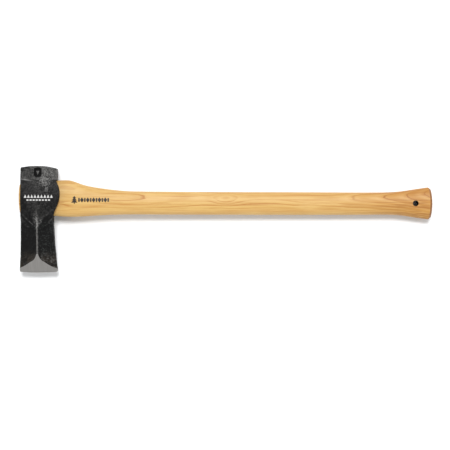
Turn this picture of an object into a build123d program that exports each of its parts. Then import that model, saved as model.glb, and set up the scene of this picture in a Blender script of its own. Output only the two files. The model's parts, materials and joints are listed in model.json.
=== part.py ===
from build123d import *
import math
import os

os.makedirs("parts", exist_ok=True)

# A splitting maul that lies on its cheek. X runs along the handle from the head to the
# knob, Y runs from the cutting edge to the poll, and Z is up. All sizes are in millimetres.

# Driving dimensions
overall_length = 810.0
head_height = 209.0
head_thickness = 48.0
poll_width = 71.0
edge_width = 76.0
tongue_proud = 3.8
hang_hole_radius = 5.5
hang_hole_from_end = 33.0

# Places that follow from them
tongue_end_x = -overall_length / 2
knob_end_x = overall_length / 2
head_left_x = tongue_end_x + tongue_proud
head_right_x = head_left_x + poll_width
poll_y = head_height / 2
edge_y = -head_height / 2
mid_z = head_thickness / 2

# Side outline of the head, with the lug's spline as steps right of the head and heights
poll_flat_start = 18.0
poll_flat_length = 24.0
poll_left_drop = 2.6
poll_right_drop = 5.0
poll_step_y = 78.0
poll_corner_radius = 3.0
poll_right_bow = (13.0, 1.9)
lug_notch = (-2.0, 75.5)
lug_tip = (5.2, 57.0)
lug_waist = (3.8, 35.0)
lug_root = (-3.4, 18.4)
neck = (-7.6, 5.0)
blade_right_bow = (-4.2, -52.0)
blade_left_bow = (1.1, -64.0)
edge_left_x = head_left_x - 3.4
edge_right_x = edge_left_x + edge_width
edge_crown = 1.6
edge_corner_radius = 3.5

# Thickness of the head, as half-thicknesses at heights in Y
poll_half = 19.0
poll_shoulder_radius = 4.5
eye_half = head_thickness / 2
eye_y = 43.0
ledge_half = 20.8
cheek_low_y = 9.5
cheek_low_half = 20.2
blade_top_y = -26.0
blade_top_half = 15.1
bevel_top_y = -69.0
bevel_top_half = 10.3
edge_half = 0.5
ledge_lip = 0.4
cheek_slope = 0.2
ledge_slope = 0.16
profile_overrun = 20.0

# The hollows ground on each side of the central ridge
ridge_x = head_left_x + 32.2
ridge_land_half = 1.5
hollow_reach = 46.0
hollow_rise = 5.2
hollow_bends = [(4.0, 1.1), (11.0, 2.3), (28.0, 3.95)]
hollow_clear = 40.0
hollow_skew = 40.0
hollow_lift_y = -33.0
hollow_lift_radius = 70.0
hollow_lift_angle = 50.0
blade_slope = (blade_top_half - bevel_top_half) / (blade_top_y - bevel_top_y)
hollow_start_y = edge_y - 55.0
hollow_start_half = blade_top_half - blade_slope * (blade_top_y - hollow_start_y)
hollow_lift_half = blade_top_half - blade_slope * (blade_top_y - hollow_lift_y)

# The maker's stamp on the poll
stamp_x = ridge_x + 2.0
stamp_y = 92.0
stamp_width = 13.0
stamp_height = 17.0
stamp_depth = 1.2
stamp_corner = 3.0
stamp_above = 1.0
mark_base = 9.0
mark_angle = 70.0

# Handle sections: place along X, centre in Y, depth in Y, thickness in Z
handle_sections = [
    (tongue_end_x - 7.0, 45.4, 71.6, 33.0),
    (-380.0, 44.0, 69.6, 30.0),
    (-350.0, 42.6, 69.4, 29.0),
    (-325.0, 41.3, 70.6, 30.5),
    (-305.0, 40.7, 71.4, 33.0),
    (-283.0, 37.4, 63.6, 33.4),
    (-250.0, 34.8, 54.4, 32.4),
    (-210.0, 33.1, 47.6, 31.2),
    (-150.0, 32.1, 45.2, 30.4),
    (0.0, 31.4, 44.8, 30.2),
    (180.0, 31.0, 44.6, 30.2),
    (300.0, 31.0, 43.9, 30.6),
    (335.0, 31.3, 45.7, 31.6),
    (362.0, 31.4, 52.4, 33.2),
    (385.0, 31.4, 59.6, 34.6),
    (knob_end_x + 3.0, 31.4, 65.4, 35.6),
]
oval_power = 2.3
oval_points_each = 16
handle_axis_y = 31.4
tongue_axis_y = 45.2
tongue_rim = 1.6
tongue_crown = 4.0
knob_rim = 4.2
knob_crown = 7.0
crown_half = 45.0
hang_hole_rim = 0.8

# Wedges that spread the tongue in the eye
kerf_half = 0.8
kerf_depth = 66.0
wood_wedge_half = 3.6
wood_wedge_depth = 54.0
steel_wedge_width = 28.0
steel_wedge_half = 2.4
steel_wedge_tip_half = 0.7
steel_wedge_length = 34.0
steel_wedge_sunk = 0.5
steel_wedge_turn = 42.0
barb_height = 0.5
barb_count = 3
barb_start = 5.0
barb_length = 6.8
barb_taper = 0.4
wedge_overrun = 10.0
cut_below_y = -20.0
cut_above_y = 120.0


def oval_points(centre_y, depth, thickness):
    """Points round an oval that is a little squarer than an ellipse."""
    points = []
    for step in range(oval_points_each):
        turn = 2 * math.pi * step / oval_points_each
        y_part = math.copysign(abs(math.cos(turn)) ** (2 / oval_power), math.cos(turn))
        z_part = math.copysign(abs(math.sin(turn)) ** (2 / oval_power), math.sin(turn))
        points.append((centre_y + y_part * depth / 2, mid_z + z_part * thickness / 2))
    return points


# The handle blank, which is also the shape of the eye
with BuildPart() as handle_blank:
    for section_x, centre_y, depth, thickness in handle_sections:
        with BuildSketch(Plane.YZ.offset(section_x)):
            with BuildLine():
                Spline(*oval_points(centre_y, depth, thickness), periodic=True)
            make_face()
    loft()
    # Both ends are cut to a shallow crown
    with BuildSketch(Plane.XY):
        with BuildLine():
            tongue_top = (tongue_end_x + tongue_crown, tongue_axis_y + crown_half)
            tongue_low = (tongue_end_x + tongue_crown, tongue_axis_y - crown_half)
            knob_low = (knob_end_x - knob_crown, handle_axis_y - crown_half)
            knob_top = (knob_end_x - knob_crown, handle_axis_y + crown_half)
            ThreePointArc(tongue_top, (tongue_end_x, tongue_axis_y), tongue_low)
            Line(tongue_low, knob_low)
            ThreePointArc(knob_low, (knob_end_x, handle_axis_y), knob_top)
            Line(knob_top, tongue_top)
        make_face()
    extrude(amount=head_thickness, mode=Mode.INTERSECT)
    chamfer(handle_blank.faces().sort_by(Axis.X)[-1].edges(), knob_rim)
    fillet(handle_blank.faces().sort_by(Axis.X)[0].edges(), tongue_rim)


def beside_head(place):
    """A point given as a step to the right of the head and a height in Y."""
    return (head_right_x + place[0], place[1])


# The forged head before its eye and hollows are cut
with BuildPart() as head:
    with BuildSketch(Plane.XY) as side_outline:
        with BuildLine():
            left_corner = (head_left_x, poll_y - poll_left_drop)
            flat_start = (head_left_x + poll_flat_start, poll_y)
            flat_end = (head_left_x + poll_flat_start + poll_flat_length, poll_y)
            right_corner = (head_right_x, poll_y - poll_right_drop)
            poll_foot = (head_right_x, poll_step_y)
            edge_right = (edge_right_x, edge_y + edge_crown)
            edge_left = (edge_left_x, edge_y + edge_crown)
            blade_left_top = (head_left_x, blade_top_y)
            Line(left_corner, flat_start)
            Line(flat_start, flat_end)
            poll_bow = (head_right_x - poll_right_bow[0], poll_y - poll_right_bow[1])
            ThreePointArc(flat_end, poll_bow, right_corner)
            Line(right_corner, poll_foot)
            Line(poll_foot, beside_head(lug_notch))
            Spline(*[beside_head(bend) for bend in (lug_notch, lug_tip, lug_waist, lug_root, neck)])
            ThreePointArc(beside_head(neck), beside_head(blade_right_bow), edge_right)
            ThreePointArc(edge_right, (ridge_x, edge_y), edge_left)
            left_bow = (head_left_x - blade_left_bow[0], blade_left_bow[1])
            ThreePointArc(edge_left, left_bow, blade_left_top)
            Line(blade_left_top, left_corner)
        make_face()
        poll_corners = side_outline.vertices().filter_by_position(
            Axis.Y, right_corner[1] - 0.1, left_corner[1] + 0.1
        )
        fillet(poll_corners, poll_corner_radius)
        fillet(side_outline.vertices().sort_by(Axis.Y)[:2], edge_corner_radius)
    extrude(amount=head_thickness)

    with BuildSketch(Plane.YZ.offset(head_left_x - profile_overrun)) as wedge_profile:
        with BuildLine():
            poll_centre = (poll_y, mid_z)
            poll_edge = (poll_y, mid_z + poll_half)
            ledge_top = (poll_step_y + 0.5, mid_z + poll_half + ledge_lip)
            ledge_low = (poll_step_y - 1.5, mid_z + ledge_half)
            blade_top = (blade_top_y, mid_z + blade_top_half)
            bevel_top = (bevel_top_y, mid_z + bevel_top_half)
            edge_side = (edge_y, mid_z + edge_half)
            Polyline(poll_centre, poll_edge, ledge_top, ledge_low)
            Spline(
                ledge_low,
                (eye_y, mid_z + eye_half),
                (cheek_low_y, mid_z + cheek_low_half),
                blade_top,
                tangents=[(-1, ledge_slope), (-1, 0), (-1, -cheek_slope), (-1, -blade_slope)],
            )
            Polyline(blade_top, bevel_top, edge_side, (edge_y, mid_z), poll_centre)
        make_face()
        shoulder = wedge_profile.vertices().sort_by_distance((poll_y, mid_z + poll_half))[0]
        fillet(shoulder, poll_shoulder_radius)
        mirror(about=Plane.XZ.offset(-mid_z))
    extrude(amount=edge_width + 2 * profile_overrun, mode=Mode.INTERSECT)


# A bar whose lower face is the hollow: it runs down the blade and lifts out at the neck
with BuildPart() as hollow_bar:
    with BuildLine(Plane.YZ.offset(ridge_x)) as hollow_run:
        blade_run = Line(
            (hollow_start_y, mid_z + hollow_start_half),
            (hollow_lift_y, mid_z + hollow_lift_half),
        )
        JernArc(blade_run @ 1, blade_run % 1, hollow_lift_radius, hollow_lift_angle)
    down_blade = hollow_run.line % 0
    skew = math.radians(hollow_skew)
    across = Vector(1, 0, 0) * math.cos(skew) + down_blade * math.sin(skew)
    inward = down_blade.cross(Vector(1, 0, 0))
    section_plane = Plane(
        origin=hollow_run.line @ 0, x_dir=across, z_dir=across.cross(inward)
    )
    with BuildSketch(section_plane):
        with BuildLine():
            stretch = 1 / math.cos(skew)
            ridge_side = (ridge_land_half * stretch, 0.0)
            bends = [(reach * stretch, rise) for reach, rise in hollow_bends]
            outer_side = (hollow_reach * stretch, hollow_rise)
            Spline(ridge_side, *bends, outer_side)
            Polyline(
                outer_side,
                (hollow_reach * stretch, -hollow_clear),
                (ridge_land_half * stretch, -hollow_clear),
                ridge_side,
            )
        make_face()
    sweep()

# The four hollows, one on each side of the ridge and on both cheeks
ridge_plane = Plane.YZ.offset(ridge_x)
cheek_plane = Plane.XY.offset(mid_z)
with BuildPart() as hollows:
    add(hollow_bar.part)
    mirror(about=ridge_plane)
    mirror(about=cheek_plane)

# The forged head with its eye, hollows and stamp
with BuildPart() as maul_head:
    add(head.part)
    add(handle_blank.part, mode=Mode.SUBTRACT)
    add(hollows.part, mode=Mode.SUBTRACT)
    with BuildSketch(Plane.XY.offset(mid_z + poll_half + stamp_above)):
        with Locations((stamp_x, stamp_y)):
            RectangleRounded(stamp_width, stamp_height, stamp_corner)
            Triangle(c=mark_base, B=mark_angle, C=mark_angle, rotation=180.0, mode=Mode.SUBTRACT)
    extrude(amount=-stamp_depth - stamp_above, mode=Mode.SUBTRACT)

# The handle: tongue, shaft and knob, with the kerf, the steel wedge's slot and the hang hole
kerf_end_x = tongue_end_x + kerf_depth
wood_wedge_end_x = tongue_end_x + wood_wedge_depth
outside_x = tongue_end_x - wedge_overrun
wood_wedge_slope = (wood_wedge_half - kerf_half) / wood_wedge_depth
wood_wedge_outside_half = wood_wedge_half + wood_wedge_slope * wedge_overrun
with BuildPart() as wood_wedge_bar:
    with BuildSketch(Plane.XZ.offset(-cut_below_y)) as wood_wedge_profile:
        with BuildLine():
            Polyline(
                (outside_x, mid_z + wood_wedge_outside_half),
                (wood_wedge_end_x, mid_z + kerf_half),
                (wood_wedge_end_x, mid_z - kerf_half),
                (outside_x, mid_z - wood_wedge_outside_half),
                close=True,
            )
        make_face()
    extrude(amount=cut_below_y - cut_above_y)

with BuildPart() as saw_cut:
    with BuildSketch(Plane.XZ.offset(-cut_below_y)):
        with Locations(((wood_wedge_end_x + kerf_end_x) / 2, mid_z)):
            Rectangle(kerf_end_x - wood_wedge_end_x, 2 * kerf_half)
    extrude(amount=cut_below_y - cut_above_y)

# The steel wedge lies across the wooden one, turned about X
steel_head_x = tongue_end_x + steel_wedge_sunk
steel_tip_x = steel_head_x + steel_wedge_length
steel_turn = math.radians(steel_wedge_turn)
steel_plane = Plane(
    origin=(0.0, tongue_axis_y, mid_z),
    x_dir=(1, 0, 0),
    z_dir=(0, math.cos(steel_turn), math.sin(steel_turn)),
)
barb_x = steel_head_x + barb_start
barb_edge = [(steel_head_x, steel_wedge_half), (barb_x, steel_wedge_half)]
for barb in range(barb_count):
    barb_half = steel_wedge_half - barb * barb_taper
    barb_edge.append((barb_x + barb * barb_length, barb_half - barb_height))
    barb_edge.append((barb_x + (barb + 1) * barb_length, barb_half - barb_height / 5))
barb_edge.append((steel_tip_x, steel_wedge_tip_half))
barb_edge.append((steel_tip_x, 0.0))
with BuildPart() as steel_wedge:
    with BuildSketch(steel_plane):
        with BuildLine():
            Polyline((steel_head_x, 0.0), *barb_edge, close=True)
        make_face()
        mirror(about=Plane.XZ)
    extrude(amount=steel_wedge_width / 2, both=True)

with BuildPart() as steel_slot_mouth:
    with BuildSketch(steel_plane):
        with Locations(((outside_x + steel_head_x) / 2, 0.0)):
            Rectangle(steel_head_x - outside_x, 2 * steel_wedge_half)
    extrude(amount=steel_wedge_width / 2, both=True)

hang_hole_x = knob_end_x - hang_hole_from_end
with BuildPart() as handle:
    add(handle_blank.part)
    with BuildSketch(Plane.XY):
        with Locations((hang_hole_x, handle_axis_y)):
            Circle(hang_hole_radius)
    extrude(amount=head_thickness, mode=Mode.SUBTRACT)
    hole_wall = handle.faces().filter_by(GeomType.CYLINDER).sort_by(Axis.X)[-1]
    chamfer(hole_wall.edges().filter_by(GeomType.LINE, reverse=True), hang_hole_rim)
    add(wood_wedge_bar.part, mode=Mode.SUBTRACT)
    add(saw_cut.part, mode=Mode.SUBTRACT)
    add(steel_wedge.part, mode=Mode.SUBTRACT)
    add(steel_slot_mouth.part, mode=Mode.SUBTRACT)

with BuildPart() as wooden_wedge:
    add(handle_blank.part)
    add(wood_wedge_bar.part, mode=Mode.INTERSECT)
    add(steel_wedge.part, mode=Mode.SUBTRACT)
    add(steel_slot_mouth.part, mode=Mode.SUBTRACT)

maul_head.part.label = "maul_head"
handle.part.label = "handle"
wooden_wedge.part.label = "wooden_wedge"
steel_wedge.part.label = "steel_wedge"
export_step(maul_head.part, "parts/maul_head.step")
export_step(handle.part, "parts/handle.step")
export_step(wooden_wedge.part, "parts/wooden_wedge.step")
export_step(steel_wedge.part, "parts/steel_wedge.step")
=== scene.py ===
"""A splitting maul: forged head, hickory handle and wedges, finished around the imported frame."""
import json
import math
from types import SimpleNamespace

import bpy
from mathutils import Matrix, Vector


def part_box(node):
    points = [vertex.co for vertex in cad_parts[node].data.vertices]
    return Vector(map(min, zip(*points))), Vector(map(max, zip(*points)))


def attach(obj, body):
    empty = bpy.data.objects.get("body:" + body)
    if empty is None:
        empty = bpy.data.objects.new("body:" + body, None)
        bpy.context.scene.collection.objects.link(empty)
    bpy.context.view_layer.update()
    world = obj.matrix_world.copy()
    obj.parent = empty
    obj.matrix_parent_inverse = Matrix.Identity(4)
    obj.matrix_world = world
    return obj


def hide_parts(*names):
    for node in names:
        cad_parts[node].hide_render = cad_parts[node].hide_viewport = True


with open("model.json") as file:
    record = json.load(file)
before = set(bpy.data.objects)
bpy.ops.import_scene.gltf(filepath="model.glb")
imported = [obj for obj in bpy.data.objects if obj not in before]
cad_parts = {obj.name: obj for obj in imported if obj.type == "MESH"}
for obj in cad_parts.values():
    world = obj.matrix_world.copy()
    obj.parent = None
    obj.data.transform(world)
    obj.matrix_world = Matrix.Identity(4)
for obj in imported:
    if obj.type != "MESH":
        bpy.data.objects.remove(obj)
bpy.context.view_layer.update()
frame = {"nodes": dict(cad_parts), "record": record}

MM = 0.001
merge_distance = 0.002 * MM

# Places on the maul in millimetres, from the frame's own boxes and mounts.
# X runs from the tongue to the knob, Y from the cutting edge to the poll.
head_low, head_high = (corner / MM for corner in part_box("maul_head"))
handle_low, handle_high = (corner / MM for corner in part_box("handle"))
mounts = {mount["name"]: mount for mount in frame["record"]["mounts"]}
hole_x, hole_y = (place / MM for place in mounts["hang_hole"]["pos_m"][:2])
hole_radius = mounts["hang_hole"]["dims"]["r_mm"]
mid_z = (head_low.z + head_high.z) / 2
edge_y = head_low.y
knob_x = handle_high.x

# The head's own measures, and the places that follow from them
tongue_proud = 3.8
poll_width = 71.0
ridge_inset = 32.2
head_left_x = handle_low.x + tongue_proud
head_right_x = head_left_x + poll_width
ridge_x = head_left_x + ridge_inset
cheek_top_y = -8.0
bevel_top_y = -66.0
bevel_slope = 9.8 / 35.5
bevel_edge_half = 0.5
stamp_x = ridge_x + 2.0
stamp_y = 92.0
stamp_half_width = 7.9
stamp_half_height = 9.7


# Selection and modifiers

def select_only(piece):
    """Leaves one object selected and active."""
    bpy.ops.object.select_all(action="DESELECT")
    piece.select_set(True)
    bpy.context.view_layer.objects.active = piece


def apply_modifier(piece, kind, **settings):
    """Adds a modifier with these settings and applies it."""
    select_only(piece)
    bpy.ops.object.modifier_add(type=kind)
    modifier = piece.modifiers[-1]
    for name, value in settings.items():
        setattr(modifier, name, value)
    bpy.ops.object.modifier_apply(modifier=modifier.name)


def copy_of_node(node, name):
    """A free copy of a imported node, merged into one closed skin."""
    select_only(frame["nodes"][node])
    bpy.ops.object.duplicate()
    piece = bpy.context.view_layer.objects.active
    piece.parent = None
    for key in list(piece.keys()):
        del piece[key]
    piece.name = name
    piece.data.name = name
    bpy.ops.object.mode_set(mode="EDIT")
    bpy.ops.mesh.select_all(action="SELECT")
    bpy.ops.mesh.remove_doubles(threshold=merge_distance)
    bpy.ops.object.mode_set(mode="OBJECT")
    return piece


def weigh(piece, name, weight):
    """A vertex group whose weight comes from each vertex's place in millimetres."""
    group = piece.vertex_groups.new(name=name)
    for vertex in piece.data.vertices:
        group.add([vertex.index], weight(*(vertex.co / MM)), "REPLACE")


def dent(piece, name, size_mm, depth, lift_mm, group):
    """Pushes a piece's skin in and out by clouds of one size."""
    texture = bpy.data.textures.new(name, "CLOUDS")
    texture.noise_scale = size_mm * MM
    texture.noise_depth = depth
    apply_modifier(
        piece, "DISPLACE", texture=texture, texture_coords="LOCAL",
        strength=lift_mm * MM, mid_level=0.5, vertex_group=group,
    )


# Shader arithmetic

class Signal:
    """One shader value. Arithmetic on it adds Math nodes."""

    def __init__(self, finish, output):
        self.finish = finish
        self.output = output

    def __add__(self, other):
        return self.finish.maths("ADD", self, other)

    def __sub__(self, other):
        return self.finish.maths("SUBTRACT", self, other)

    def __rsub__(self, other):
        return self.finish.maths("SUBTRACT", other, self)

    def __mul__(self, other):
        return self.finish.maths("MULTIPLY", self, other)

    def __truediv__(self, other):
        return self.finish.maths("DIVIDE", self, other)

    def __neg__(self):
        return self.finish.maths("MULTIPLY", self, -1.0)

    def __abs__(self):
        return self.finish.maths("ABSOLUTE", self)

    __radd__ = __add__
    __rmul__ = __mul__


class Finish:
    """A material whose nodes are all made by node()."""

    def __init__(self, tree):
        self.tree = tree
        self.tree.nodes.clear()
        self.spot = None

    def node(self, kind, settings=None, inputs=None, output=0):
        """A node with its settings, then the values or links of its sockets."""
        made = self.tree.nodes.new(kind)
        for name, value in (settings or {}).items():
            setattr(made, name, value)
        for name, value in (inputs or {}).items():
            if isinstance(value, Signal):
                self.tree.links.new(value.output, made.inputs[name])
            else:
                made.inputs[name].default_value = value
        return Signal(self, made.outputs[output]) if made.outputs else None

    def maths(self, operation, *values):
        """A Math node on values or Signals."""
        return self.node("ShaderNodeMath", {"operation": operation}, dict(enumerate(values)))

    def vector(self, operation, *values):
        """A Vector Math node on vectors or Signals."""
        return self.node("ShaderNodeVectorMath", {"operation": operation}, dict(enumerate(values)))

    def most(self, first, *others):
        """The largest of several values."""
        for other in others:
            first = self.maths("MAXIMUM", first, other)
        return first

    def place(self):
        """The point on the piece, in millimetres in the maul's frame."""
        if self.spot is None:
            metres = self.node("ShaderNodeTexCoord", output="Object")
            self.spot = self.vector("MULTIPLY", metres, (1 / MM,) * 3)
        return self.spot

    def parts(self, vector):
        """The X, Y and Z of a vector."""
        split = self.node("ShaderNodeSeparateXYZ", None, {"Vector": vector})
        outputs = split.output.node.outputs
        return [Signal(self, outputs[axis]) for axis in range(3)]

    def facing(self):
        """The X, Y and Z of the direction that the surface faces."""
        return self.parts(self.node("ShaderNodeTexCoord", output="Normal"))

    def noise(self, scale, detail, roughness, distortion=0.0, shift=0.0):
        """Noise around 0.5, where scale is in cycles per millimetre along each axis."""
        spot = self.vector("MULTIPLY", self.place(), scale)
        if shift:
            spot = self.vector("ADD", spot, (shift,) * 3)
        return self.node(
            "ShaderNodeTexNoise",
            {"noise_dimensions": "3D"},
            {
                "Vector": spot,
                "Scale": 1.0,
                "Detail": detail,
                "Roughness": roughness,
                "Distortion": distortion,
            },
        )

    def even_noise(self, cycles, detail, roughness, distortion=0.0, shift=0.0):
        """Noise that is alike in every direction."""
        return self.noise((cycles,) * 3, detail, roughness, distortion, shift)

    def ease(self, value, low, high, start=0.0, end=1.0):
        """Eases from start to end as value goes from low to high."""
        return self.node(
            "ShaderNodeMapRange",
            {"interpolation_type": "SMOOTHSTEP"},
            {"Value": value, 1: low, 2: high, 3: start, 4: end},
        )

    def within(self, distance, limit, soft):
        """1 inside a limit and 0 outside it, softened on both sides of the limit."""
        return 1 - self.ease(distance, limit - soft, limit + soft)

    def hill(self, x, y, centre, reach):
        """1 at a centre, falling away smoothly over a reach along each axis."""
        across = (x - centre[0]) / reach[0]
        along = (y - centre[1]) / reach[1]
        return self.maths("EXPONENT", -(across * across + along * along))

    def repeat(self, value, pitch):
        """The distance to the nearest of a row of centres, a pitch apart."""
        return abs(self.maths("FRACT", value / pitch + 0.5) - 0.5) * pitch

    def blend(self, factor, first, second):
        """A colour between first and second."""
        colours = {}
        for index, colour in ((6, first), (7, second)):
            colours[index] = colour if isinstance(colour, Signal) else (*colour, 1.0)
        return self.node("ShaderNodeMix", {"data_type": "RGBA"}, {0: factor, **colours}, output=2)

    def bump(self, height, distance_mm, strength):
        """Relief that lifts the surface by up to a distance."""
        inputs = {"Strength": strength, "Distance": distance_mm * MM, "Height": height}
        return self.node("ShaderNodeBump", None, inputs)

    def surface(self, inputs):
        """Ends the material in one Principled shader."""
        shader = self.node("ShaderNodeBsdfPrincipled", None, inputs)
        self.node("ShaderNodeOutputMaterial", None, {"Surface": shader})


def new_finish(name):
    """An empty material and its Finish."""
    material = bpy.data.materials.new(name)
    material.use_nodes = True
    return material, Finish(material.node_tree)


# The forged head

def inside_bevel(y, z):
    """How far a point lies inside the plane of the bevel, for numbers or Signals."""
    return bevel_edge_half + (y - edge_y) * bevel_slope - abs(z - mid_z)


def climb(value, start, width):
    """0 up to a start, then evenly up to 1 over a width."""
    return min(max((value - start) / width, 0.0), 1.0)


def forged_weight(x, y, z):
    """1 on forged skin, 0 on the bevel, the ridge line and the eye's wall, low in the stamp."""
    eye_low_y, eye_high_y, eye_reach_z = 8.0, 81.0, 17.4
    stamp_reach_x, stamp_reach_y, stamp_low_z, stamp_weight = 8.0, 10.0, 16.0, 0.1
    height = abs(z - mid_z)
    ridge = climb(abs(x - ridge_x), 1.6, 2.0) if y <= cheek_top_y else 1.0
    bevel = climb(inside_bevel(y, z), 0.05, 0.6) if y < bevel_top_y else 1.0
    eye = 0.0 if height < eye_reach_z and eye_low_y < y < eye_high_y else 1.0
    over_stamp = abs(x - stamp_x) < stamp_reach_x and abs(y - stamp_y) < stamp_reach_y
    stamp = stamp_weight if over_stamp and height > stamp_low_z else 1.0
    return min(ridge, bevel, eye, stamp)


head = copy_of_node("maul_head", "head")
apply_modifier(head, "REMESH", mode="SHARP", octree_depth=8, scale=0.99, sharpness=1.0)
weigh(head, "forged", forged_weight)
apply_modifier(head, "SMOOTH", factor=0.5, iterations=14, vertex_group="forged")
dent(head, "hammer_dents", size_mm=14.0, depth=1, lift_mm=0.9, group="forged")
dent(head, "scale_pits", size_mm=3.2, depth=2, lift_mm=0.35, group="forged")
select_only(head)
bpy.ops.object.shade_smooth()
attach(head, "root")
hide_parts("maul_head")

# Colours of the steel, from fresh scale to bare metal; the worn grey and worn pale also serve
# painted highlights on the edges and the ledge
scale_black = (0.0020, 0.0020, 0.0021)
scale_soot = (0.0080, 0.0078, 0.0077)
scale_smoke = (0.021, 0.0205, 0.020)
scale_earth = (0.022, 0.016, 0.010)
scale_ash = (0.034, 0.033, 0.032)
scale_slate = (0.034, 0.038, 0.036)
worn_grey_and_edge_highlight = (0.066, 0.065, 0.063)
worn_pale_and_ledge_highlight = (0.165, 0.163, 0.158)
scuffed_steel = (0.20, 0.197, 0.191)
rubbed_ridge = (0.125, 0.122, 0.118)
stamp_dark = (0.0012, 0.0012, 0.0012)
stamp_mark = (0.11, 0.109, 0.106)
ground_steel = (0.44, 0.427, 0.41)
ground_bright = (0.52, 0.505, 0.485)
honed_steel = (0.32, 0.31, 0.30)
white_ink = (0.47, 0.47, 0.46)


def scale_marks(steel):
    """Fields of mottled scale, from broad clouds to fine specks."""
    clouds = steel.even_noise(0.035, 3.0, 0.6)
    mottle = steel.even_noise(0.11, 4.0, 0.7, 0.8)
    grit = steel.even_noise(0.26, 4.0, 0.8)
    fine = steel.even_noise(0.55, 3.0, 0.7)
    vein_field = steel.even_noise(0.15, 3.0, 0.65, 1.2)
    return SimpleNamespace(
        mottle=mottle,
        grit=grit,
        fine=fine,
        patch=steel.ease(clouds * 0.3 + mottle * 0.7, 0.46, 0.58),
        fleck=steel.ease(mottle * 0.3 + grit * 0.7, 0.49, 0.565),
        speck=steel.ease(grit * 0.45 + fine * 0.55, 0.525, 0.60),
        pit=1 - steel.ease(mottle * 0.4 + fine * 0.6, 0.40, 0.47),
        veins=1 - steel.ease(abs(vein_field - 0.5), 0.01, 0.05),
    )


def head_regions(steel, marks, x, y):
    """Masks for the parts of the head that wear in their own ways."""
    poll = steel.ease(y + (marks.mottle - 0.5) * 8.0, 76.0, 80.0)
    low = 1 - steel.ease(y, -84.0, -56.0)
    return SimpleNamespace(
        poll=poll,
        low=low,
        right=steel.ease(x, ridge_x - 2.0, ridge_x + 18.0),
        eye=steel.ease(y, cheek_top_y, 14.0) * (1 - poll),
        facet=(1 - steel.ease(y, -12.0, 2.0)) * (1 - low),
        right_facet=steel.ease(x, ridge_x, ridge_x + 3.0),
        shoulder=steel.hill(x, y, (ridge_x + 17.0, 74.0), (17.0, 13.0)),
        streak=steel.hill(x, y, (ridge_x + 19.0, 58.0), (6.0, 13.0)),
        brow=steel.hill(x, y, (ridge_x + 8.0, 25.0), (20.0, 10.0)),
    )


def upper_scale(steel, marks, at):
    """The scale of the eye, the facets and the poll."""
    patch, fleck, speck = marks.patch, marks.fleck, marks.speck
    skin = steel.blend(at.eye * patch * 0.6, scale_black, scale_soot)
    skin = steel.blend(fleck * at.eye * 0.36, skin, scale_smoke)
    skin = steel.blend(speck * at.eye * 0.28, skin, scale_ash)
    skin = steel.blend(at.brow * speck * 0.36, skin, worn_grey_and_edge_highlight)
    skin = steel.blend(speck * at.facet * (0.25 + at.right_facet * 0.75), skin, scale_slate)
    skin = steel.blend(at.poll * (0.35 + patch * 0.35), skin, scale_smoke)
    skin = steel.blend(at.poll * fleck * 0.55, skin, worn_grey_and_edge_highlight)
    skin = steel.blend(at.poll * at.right * (0.55 + patch * 0.4), skin, worn_grey_and_edge_highlight)
    return steel.blend(at.poll * at.right * speck * 0.95, skin, worn_pale_and_ledge_highlight)


def wear_and_ledge_highlight(steel, marks, at, x, y, skin):
    """Wear on the poll's shelf, the shoulder and the blade, and a painted highlight along the
    ledge below the poll.
    """
    patch, fleck, speck, pit = marks.patch, marks.fleck, marks.speck, marks.pit
    shelf = (1 - steel.ease(y, 80.0, 89.0)) * (1 - at.right) * at.poll
    skin = steel.blend(shelf * (0.25 + speck * 0.5), skin, worn_grey_and_edge_highlight)
    bared = at.shoulder * (marks.veins * 0.55 + 0.55)
    bared = bared + (marks.grit - 0.5) * 1.5 + (marks.fine - 0.5) * 0.8
    skin = steel.blend(steel.ease(bared, 0.40, 0.85) * 0.8, skin, worn_pale_and_ledge_highlight)
    skin = steel.blend(at.shoulder * pit * 0.8, skin, scale_black)
    rubbed_down = steel.ease(at.streak * 0.8 + (marks.grit - 0.5) * 2.2, 0.5, 0.9)
    skin = steel.blend(rubbed_down * 0.5, skin, worn_pale_and_ledge_highlight)
    skin = steel.blend(at.poll * pit * 0.75, skin, scale_black)
    skin = steel.blend(at.low * (0.2 + patch * 0.5), skin, scale_earth)
    skin = steel.blend(at.low * fleck * (0.34 + at.right_facet * 0.20), skin, worn_grey_and_edge_highlight)
    skin = steel.blend(at.low * at.right_facet * speck * 0.24, skin, worn_pale_and_ledge_highlight)

    # Painted highlight: a pale line along the ledge below the poll, where the step faces the
    # light, broken up by fine noise.
    ledge_x, ledge_y, ledge_tilt = ridge_x - 21.0, 77.3, 0.14
    level = y + (x - ledge_x) * ledge_tilt
    ledge = steel.hill(x, level, (ledge_x, ledge_y), (9.0, 0.9))
    return steel.blend(ledge * (0.45 + marks.fine), skin, worn_pale_and_ledge_highlight)


def rubbed_and_highlit_edges(steel, marks, at, skin):
    """Edges lightened where the surface turns away: partly wear from handling, partly a painted
    highlight.
    """
    facing = steel.facing()
    turned = steel.most(abs(facing[0]), abs(facing[1]))
    arris = steel.ease(turned, 0.34, 0.55) * (1 - steel.ease(turned, 0.80, 0.95))
    # Partly wear and partly painted highlight: faces slanting off along the edges are lightened,
    # broken up by grit.
    rubbed = arris * (1 - at.eye) * steel.ease(marks.grit, 0.36, 0.60)
    return steel.blend(rubbed * 0.9, skin, worn_grey_and_edge_highlight)


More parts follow.
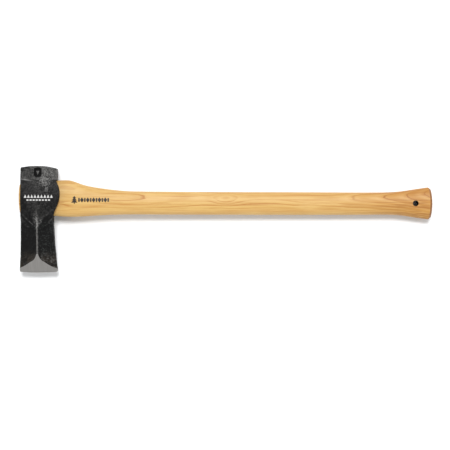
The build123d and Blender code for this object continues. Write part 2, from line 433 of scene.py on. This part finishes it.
def scuffed_scale(steel, marks, x, y, ragged, skin):
    """Scuffs that spread from the top of the ridge line: a column and two arms."""
    sway = (steel.even_noise(0.08, 3.0, 0.65, shift=2.0) - 0.5) * 18.0
    rise = y + 17.0
    off = x - ridge_x + 1.0
    up_rise = steel.most(rise, 0.0)
    flare = steel.most(y - 3.0, 0.0)
    wander = sway * 0.55 * steel.ease(rise, 0.0, 8.0) + ragged * 0.45
    left_arm = (off + rise * 1.03 + wander) / (up_rise * 0.03 + 1.0)
    right_arm = (off - rise * 0.62 - flare * 0.6 + wander) / (up_rise * 0.02 + 1.5)
    column = (off - 0.5 + wander) / (up_rise * 0.15 + 1.2)
    left_glow = steel.maths("EXPONENT", -(left_arm * left_arm)) * 0.36
    right_glow = steel.maths("EXPONENT", -(right_arm * right_arm)) * 0.52
    faint_above = 1 - steel.ease(y + sway * 0.6, -6.0, 20.0) * 0.9
    core = steel.maths("EXPONENT", -(column * column)) * faint_above
    between = 1 - steel.ease(abs(off - rise * 0.15) / (up_rise * 0.62 + 1.0), 0.7, 1.0)
    started = steel.ease(rise, -4.0, 1.0)
    spent = 1 - steel.ease(y + sway, -6.0, 12.0) * 0.85
    worn = steel.most(core, steel.most(left_glow, right_glow) * spent)
    worn = steel.most(worn, between * spent * 0.22) * started
    strokes = steel.ease(marks.grit * 0.55 + marks.fine * 0.45, 0.45, 0.55)
    solid = steel.ease(worn, 0.4, 0.9, 0.10, 0.38)
    return steel.blend(worn * (solid + (1 - solid) * strokes), skin, scuffed_steel)


def ridge_line(steel, marks, x, y, ragged, skin):
    """The line between the facets, rubbed bare in places."""
    run = (1 - steel.ease(y, -20.0, -13.0)) * steel.ease(y, -74.0, -68.0)
    half = ragged * 0.16 + 1.1
    ridge = (1 - steel.ease(abs(x - ridge_x), half * 0.7, half * 1.5)) * run
    bare = 0.35 + steel.ease(marks.grit, 0.30, 0.62) * 0.6
    return steel.blend(ridge * bare, skin, rubbed_ridge)


def struck_stamp(steel, marks, x, y, z, skin):
    """The stamp's dark floor around its raised mark, and the stamp's mask."""
    across, along = abs(x - stamp_x) / stamp_half_width, abs(y - stamp_y) / stamp_half_height
    squareness = 3.5
    badge = steel.maths("POWER", across, squareness) + steel.maths("POWER", along, squareness)
    stamp = (1 - steel.ease(badge, 0.7, 1.15)) * steel.ease(z, mid_z + 14.0, mid_z + 15.0)
    sunk = stamp * (1 - steel.ease(abs(z - mid_z), 18.1, 18.7))
    skin = steel.blend(stamp * 0.96, skin, stamp_dark)
    in_mark = 1 - steel.ease(badge, 0.18, 0.35)
    raised = stamp * (1 - sunk) * in_mark * (0.4 + steel.ease(marks.grit, 0.38, 0.56) * 0.6)
    return steel.blend(raised * 0.9, skin, stamp_mark), stamp


def ground_bevel(steel, y, z):
    """The bevel's mask, its brushing and its colour, duller where the edge is honed."""
    above = 1 - steel.ease(y, bevel_top_y - 1.5, bevel_top_y)
    ground = (1 - steel.ease(inside_bevel(y, z), 0.08, 0.22)) * above
    brushed = steel.noise((0.9, 0.03, 0.03), 3.0, 0.6)
    bright = steel.blend(steel.ease(brushed, 0.3, 0.7), ground_steel, ground_bright)
    honed = 1 - steel.ease(y, edge_y + 2.0, edge_y + 3.4)
    return ground, brushed, steel.blend(honed * 0.35, bright, honed_steel)


def cheek_print(steel, marks, x, y, z):
    """White print on the upper cheek, a little worn: a row of peaks over a row of dashes."""
    peak_pitch, peak_tip_y, peak_foot_y, peak_flare, peaks_half = 6.4, 48.4, 42.1, 0.42, 28.8
    dash_pitch, dash_y, dash_half, dash_thick, dashes_half = 6.0, 37.7, 1.95, 1.35, 23.8
    upper = steel.ease(z, mid_z + 10.0, mid_z + 11.0)
    print_x = x - ridge_x - 3.5
    peak = steel.repeat(print_x, peak_pitch) - (peak_tip_y - y) * peak_flare
    peaks = steel.within(peak, 0.0, 0.2) * steel.ease(y, peak_foot_y - 0.2, peak_foot_y + 0.2)
    peaks = peaks * steel.within(abs(print_x), peaks_half, 0.2)
    dash = steel.repeat(print_x + dash_pitch / 2, dash_pitch)
    dashes = steel.within(dash, dash_half, 0.15) * steel.within(abs(y - dash_y), dash_thick, 0.15)
    dashes = dashes * steel.within(abs(print_x), dashes_half, 0.2)
    ink = steel.most(peaks, dashes) * upper
    return ink * steel.ease(marks.grit, 0.26, 0.36)


def forged_steel():
    """Black forging scale, worn grey where it was struck, with a ground bevel and a print."""
    material, steel = new_finish("forged_steel")
    x, y, z = steel.parts(steel.place())
    marks = scale_marks(steel)
    at = head_regions(steel, marks, x, y)
    ragged = (marks.fine - 0.5) * 6.0

    skin = upper_scale(steel, marks, at)
    skin = wear_and_ledge_highlight(steel, marks, at, x, y, skin)
    skin = rubbed_and_highlit_edges(steel, marks, at, skin)
    skin = scuffed_scale(steel, marks, x, y, ragged, skin)
    skin = ridge_line(steel, marks, x, y, ragged, skin)
    skin, stamp = struck_stamp(steel, marks, x, y, z, skin)
    ground, brushed, bright = ground_bevel(steel, y, z)
    colour = steel.blend(ground, skin, bright)
    colour = steel.blend(cheek_print(steel, marks, x, y, z), colour, white_ink)

    rough = steel.ease(marks.mottle, 0.3, 0.7, 0.66, 0.50)
    rough = rough * (1 - stamp * 0.4) + stamp * 0.4
    rough = rough * (1 - ground) + ground * 0.36
    scale_relief = marks.mottle * 0.6 + marks.grit * 0.4
    relief = scale_relief * (1 - ground) + brushed * ground * 0.07
    steel.surface({
        "Base Color": colour,
        "Metallic": ground,
        "Roughness": rough,
        "Specular IOR Level": 0.11,
        "Normal": steel.bump(relief, 0.5, 0.5),
    })
    return material


head.data.materials.clear()
head.data.materials.append(forged_steel())


# The hickory handle

# The heart of the tree, its yearly growth, and the figures where the blank cuts through it
pith_y, pith_z = 84.0, 130.0
ring_gap = 4.2
flame_spot = (-199.0, 43.0)
knot_spot = (-1.0, 41.0)
runout_x = 215.0

# Colours of the wood on the shaft, and the deeper ones toward the knob
shaft_light, knob_light = (0.515, 0.327, 0.108), (0.435, 0.22, 0.054)
shaft_deep, knob_deep = (0.39, 0.185, 0.046), (0.26, 0.095, 0.018)
shaft_red, knob_red = (0.31, 0.108, 0.020), (0.22, 0.070, 0.010)
shaft_honey, knob_honey = (0.56, 0.375, 0.150), (0.51, 0.30, 0.105)
sunlit_wood = (0.60, 0.42, 0.18)
pore_brown = (0.26, 0.12, 0.035)
crown_orange = (0.31, 0.108, 0.010)
# Painted shade for the handle's top, and painted light for its lower side
top_painted_shade_brown = (0.28, 0.185, 0.062)
lower_painted_light_cream = (0.66, 0.43, 0.150)
cut_brown, cut_dark = (0.185, 0.072, 0.019), (0.075, 0.025, 0.006)
# Painted shade for the wall of the hang hole
hole_painted_shade = (0.020, 0.011, 0.006)
black_ink = (0.010, 0.009, 0.009)


def grain(wood, x, y, z):
    """Growth rings and fibres cut through the blank."""
    across, deep = y - pith_y, z - pith_z
    radius = wood.maths("SQRT", across * across + deep * deep)
    calm = 1 - wood.ease(x, 180.0, 300.0) * 0.7
    flow = (wood.noise((0.005, 0.022, 0.022), 2.0, 0.5) - 0.5) * calm
    wander = (wood.noise((0.018, 0.08, 0.08), 2.0, 0.5) - 0.5) * calm
    uneven = wood.noise((0.002, 0.075, 0.075), 2.0, 0.5, shift=7.0) - 0.5
    uneven = uneven * (1 - wood.ease(y, 26.0, 38.0))
    quiver = wood.noise((0.05, 0.22, 0.22), 2.0, 0.5, shift=3.0) - 0.5
    runout = wood.most(x - runout_x, 0.0) * -0.066
    lens = wood.hill(x, y, flame_spot, (44.0, 9.0)) * -5.0
    swirl = wood.hill(x, y, knot_spot, (24.0, 10.5)) * -8.0
    bends = flow * 12.0 + wander * 2.6 + uneven * 7.0 + quiver * 0.7
    field = (radius + bends + runout + lens + swirl) / ring_gap + 0.5
    turn = wood.maths("FRACT", field)
    index = wood.maths("FLOOR", field)
    flame = wood.ease(x, runout_x, 270.0) * wood.ease(y, 32.0, 40.0)
    return SimpleNamespace(
        flame=flame,
        line=wood.ease(turn, 0.74 + flame * 0.12, 0.93) * (1 - wood.ease(turn, 0.95, 1.0)),
        band=wood.ease(turn, 0.0, 0.2) * (1 - wood.ease(turn, 0.2, 0.7)),
        strength=wood.node("ShaderNodeTexWhiteNoise", {"noise_dimensions": "1D"}, {"W": index}),
        fibre=wood.noise((0.014, 0.42, 0.42), 4.0, 0.6),
        streak=wood.noise((0.006, 0.10, 0.10), 3.0, 0.55),
        pores=wood.noise((0.07, 1.7, 1.7), 2.0, 0.5),
    )


def ring_lines(wood, figure, x, y, knob, below, red, colour):
    """Dark late-wood lines, bold in the figures and faded in places, with fine threads."""
    quiet = 1 - wood.ease(x, 225.0, 300.0) * (1 - wood.ease(y, 28.0, 37.0)) * 0.72
    near_figures = wood.hill(x, y, flame_spot, (62.0, 12.0))
    near_figures = near_figures + wood.hill(x, y, (knot_spot[0], 28.0), (58.0, 12.0))
    figured = wood.most(wood.ease(near_figures, 0.25, 0.6), figure.flame)
    bold = wood.most(wood.ease(figure.strength, 0.25, 0.85, 0.22, 1.0), figured * 0.9)
    faded = wood.noise((0.012, 0.05, 0.05), 2.0, 0.5, shift=5.0)
    faded = wood.most(wood.ease(faded, 0.36, 0.58, 0.35, 1.0), figured)
    drawn = figure.line * bold * faded * quiet * (0.88 + knob * 0.1)
    colour = wood.blend(drawn, colour, red)
    thread = wood.ease(wood.noise((0.005, 0.30, 0.30), 2.0, 0.5, shift=19.0), 0.60, 0.68)
    return wood.blend(thread * (faded * 0.5 + below * 0.35), colour, red)


def wood_tone(wood, figure, x, y):
    """Rings, fibres and pores over a tone that deepens toward the knob, with painted shade along
    the top and painted light along the lower side.
    """
    knob = wood.ease(x, 140.0, 380.0)
    light = wood.blend(knob, shaft_light, knob_light)
    deep = wood.blend(knob, shaft_deep, knob_deep)
    red = wood.blend(knob, shaft_red, knob_red)
    honey = wood.blend(knob, shaft_honey, knob_honey)
    sunny = wood.noise((0.011, 0.05, 0.05), 2.0, 0.5, shift=11.0)
    below = 1 - wood.ease(y, 20.0, 36.0)
    colour = wood.blend(wood.ease(figure.streak, 0.42, 0.62) * (0.42 + below * 0.18), light, deep)
    colour = wood.blend(wood.ease(sunny, 0.50, 0.66) * (1 - knob) * 0.5, colour, honey)
    colour = wood.blend(figure.band * (0.35 + knob * 0.25 + figure.flame * 0.3), colour, honey)
    colour = wood.blend(wood.hill(x, y, (-54.0, 45.0), (16.0, 7.0)) * 0.5, colour, sunlit_wood)
    colour = ring_lines(wood, figure, x, y, knob, below, red, colour)
    colour = wood.blend(wood.ease(figure.fibre, 0.49, 0.61) * (0.30 + below * 0.25), colour, deep)
    colour = wood.blend(wood.ease(figure.pores, 0.60, 0.74) * 0.3, colour, pore_brown)
    crown = wood.ease(x, 200.0, 385.0) * wood.ease(y, 34.0, 56.0)
    colour = wood.blend(crown * 0.62, colour, crown_orange)
    # Painted shade: darker along the top of the handle.
    colour = wood.blend(wood.ease(y, 30.0, 56.0) * 0.20, colour, top_painted_shade_brown)
    # Painted light: lighter along the lower side of the handle, less so toward the knob.
    lower_painted_light = (1 - wood.ease(y, 12.0, 32.0)) * (1 - knob * 0.9)
    return wood.blend(lower_painted_light * 0.34, colour, lower_painted_light_cream)


def cut_wood(wood, figure, x, y, colour):
    """End grain and the knob's rim, which drink more lacquer, and painted shade on the wall of the
    hang hole.
    """
    facing_x = wood.facing()[0]
    end = wood.ease(abs(facing_x), 0.45, 0.75) * 0.8
    rim = wood.ease(x, knob_x - 9.0, knob_x - 3.0) * wood.ease(facing_x, 0.12, 0.40) * 0.9
    end = wood.most(end, rim * wood.ease(facing_x, 0.75, 0.95, 1.0, 0.85))
    depth = figure.line * 0.6 + wood.ease(figure.pores, 0.5, 0.7) * 0.4
    colour = wood.blend(end, colour, wood.blend(depth, cut_brown, cut_dark))
    # Painted shade: the hang hole's wall is painted near-black for the shade inside the hole.
    off_x, off_y = x - hole_x, y - hole_y
    from_hole = wood.maths("SQRT", off_x * off_x + off_y * off_y)
    return wood.blend(wood.within(from_hole, hole_radius + 0.2, 0.2), colour, hole_painted_shade)


def handle_print(wood, x, y, z):
    """Dark print near the head: a conifer of stacked triangles, then dashes and diamonds."""
    tree_x, trunk_y = -295.7, 31.6
    # Each tier's tip, foot and half width
    tiers = ((46.0, 41.2, 3.8), (43.0, 37.0, 5.2), (39.4, 32.6, 6.5))
    rule_x, rule_y, rule_half, pitch = -258.0, 38.0, 30.5, 11.4
    gem_half_width, gem_half_height = 4.0, 5.2
    bar_half_width, bar_half_height = 1.525, 3.75

    from_tree = abs(x - tree_x)
    tree = wood.within(from_tree, 0.95, 0.15) * wood.within(abs(y - trunk_y), 1.15, 0.15)
    for tip, foot, half in tiers:
        slope = half / (tip - foot)
        inside = wood.within(from_tree - (tip - y) * slope, 0.0, 0.25)
        tree = wood.most(tree, inside * wood.ease(y, foot - 0.2, foot + 0.2))

    along, off = x - rule_x, abs(y - rule_y)
    cell = wood.repeat(along, pitch)
    gems = wood.within(cell / gem_half_width + off / gem_half_height, 0.98, 0.06)
    bars = wood.within(abs(cell - pitch / 2), bar_half_width, 0.125)
    bars = bars * wood.within(off, bar_half_height, 0.15)
    rule = wood.most(gems, bars) * wood.within(abs(along), rule_half, 0.1)
    return wood.most(tree, rule) * wood.ease(z, mid_z + 6.0, mid_z + 7.0)


def hickory():
    """Golden hickory under satin lacquer, with a dark print near the head."""
    material, wood = new_finish("hickory_lacquered")
    x, y, z = wood.parts(wood.place())
    figure = grain(wood, x, y, z)
    colour = wood_tone(wood, figure, x, y)
    colour = cut_wood(wood, figure, x, y, colour)
    colour = wood.blend(handle_print(wood, x, y, z) * 0.97, colour, black_ink)
    relief = figure.fibre * 0.5 + figure.pores * 0.5 - figure.line * 0.3
    wood.surface({
        "Base Color": colour,
        "Roughness": wood.ease(figure.fibre, 0.3, 0.7, 0.44, 0.54),
        "Specular IOR Level": 0.25,
        "Normal": wood.bump(relief, 0.12, 0.35),
    })
    return material


# The two wedges

def dark_wedge_wood():
    """The wedge's darker hardwood, mostly end grain."""
    material, wood = new_finish("wedge_hardwood")
    pores = wood.noise((0.5, 1.3, 1.3), 3.0, 0.6)
    rays = wood.noise((0.1, 0.25, 0.9), 3.0, 0.6)
    pale, brown, dark = (0.33, 0.165, 0.062), (0.20, 0.088, 0.03), (0.09, 0.038, 0.014)
    colour = wood.blend(wood.ease(rays, 0.35, 0.65), pale, brown)
    colour = wood.blend(wood.ease(pores, 0.56, 0.70) * 0.6, colour, dark)
    wood.surface({
        "Base Color": colour,
        "Roughness": wood.ease(pores, 0.3, 0.7, 0.42, 0.6),
        "Specular IOR Level": 0.4,
        "Normal": wood.bump(pores, 0.15, 0.4),
    })
    return material


def wedge_steel():
    """Bare steel, marked where it was driven in and stained by rust."""
    material, steel = new_finish("wedge_steel")
    struck = steel.even_noise(0.3, 4.0, 0.6)
    grit = steel.even_noise(1.1, 3.0, 0.65)
    dull, bare, rust = (0.19, 0.187, 0.182), (0.33, 0.327, 0.320), (0.10, 0.065, 0.045)
    colour = steel.blend(steel.ease(struck, 0.4, 0.64), dull, bare)
    colour = steel.blend(steel.ease(grit, 0.52, 0.66) * 0.7, colour, rust)
    steel.surface({
        "Base Color": colour,
        "Metallic": 0.9,
        "Roughness": steel.ease(struck, 0.35, 0.65, 0.55, 0.34),
        "Normal": steel.bump(struck * 0.7 + grit * 0.3, 0.3, 0.5),
    })
    return material


def dress(node, material):
    """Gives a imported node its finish."""
    for slot in frame["nodes"][node].material_slots:
        slot.material = material


dress("handle", hickory())
dress("wooden_wedge", dark_wedge_wood())
dress("steel_wedge", wedge_steel())


# Floor, light and camera

# The floor tilts until it touches both the cheek and the knob
lug_reach = 4.0
knob_round = 6.0
floor_gap = 0.1
rest_left_x = head_right_x + lug_reach
rest_right_x = knob_x - knob_round
tilt = math.atan((handle_low.z - head_low.z - floor_gap) / (rest_right_x - rest_left_x))
bpy.ops.object.select_all(action="DESELECT")
bpy.ops.mesh.primitive_plane_add(
    size=24.0, location=(rest_left_x * MM, 0, 0), rotation=(0, -tilt, 0)
)
floor = bpy.context.object
floor.name = "floor"
floor_material, paper = new_finish("pale_floor")
paper.surface({
    "Base Color": (0.85, 0.86, 0.87, 1.0),
    "Roughness": 0.9,
    "Specular IOR Level": 0.1,
})
floor.data.materials.append(floor_material)

# A white studio, dimmer overhead than low down and brighter at the sides
low_glow, high_glow = 1.5, 0.40
scene = bpy.context.scene
scene.view_settings.view_transform = "Standard"
world = bpy.data.worlds.new("studio")
scene.world = world
world.use_nodes = True
sky = Finish(world.node_tree)
sideways, _, up = sky.parts(sky.node("ShaderNodeTexCoord", output="Generated"))
glow = sky.ease(up, 0.50, 0.85, low_glow, high_glow) * (0.74 + sideways * sideways * 0.36)
white = (1.0, 1.0, 1.0, 1.0)
background = sky.node("ShaderNodeBackground", None, {"Color": white, "Strength": glow})
sky.node("ShaderNodeOutputWorld", None, {"Surface": background})

toward_light = Vector((-0.02, 0.57, 1.2))
bpy.ops.object.light_add(type="SUN", location=(-0.4, 1.2, 2.0))
key = bpy.context.object
key.name = "key"
key.data.energy = 3.1
key.data.angle = math.radians(22.0)
key.rotation_euler = toward_light.to_track_quat("Z", "Y").to_euler()

lens = 150.0
sensor = 36.0
view_width = 0.884
view_x, view_y = -0.001, -0.011
view_z = mid_z * MM + view_width * lens / sensor
bpy.ops.object.camera_add(location=(view_x, view_y, view_z), rotation=(0, 0, 0))
camera = bpy.context.object
camera.name = "camera"
camera.data.lens = lens
camera.data.sensor_width = sensor
camera.data.clip_end = 50.0
scene.camera = camera
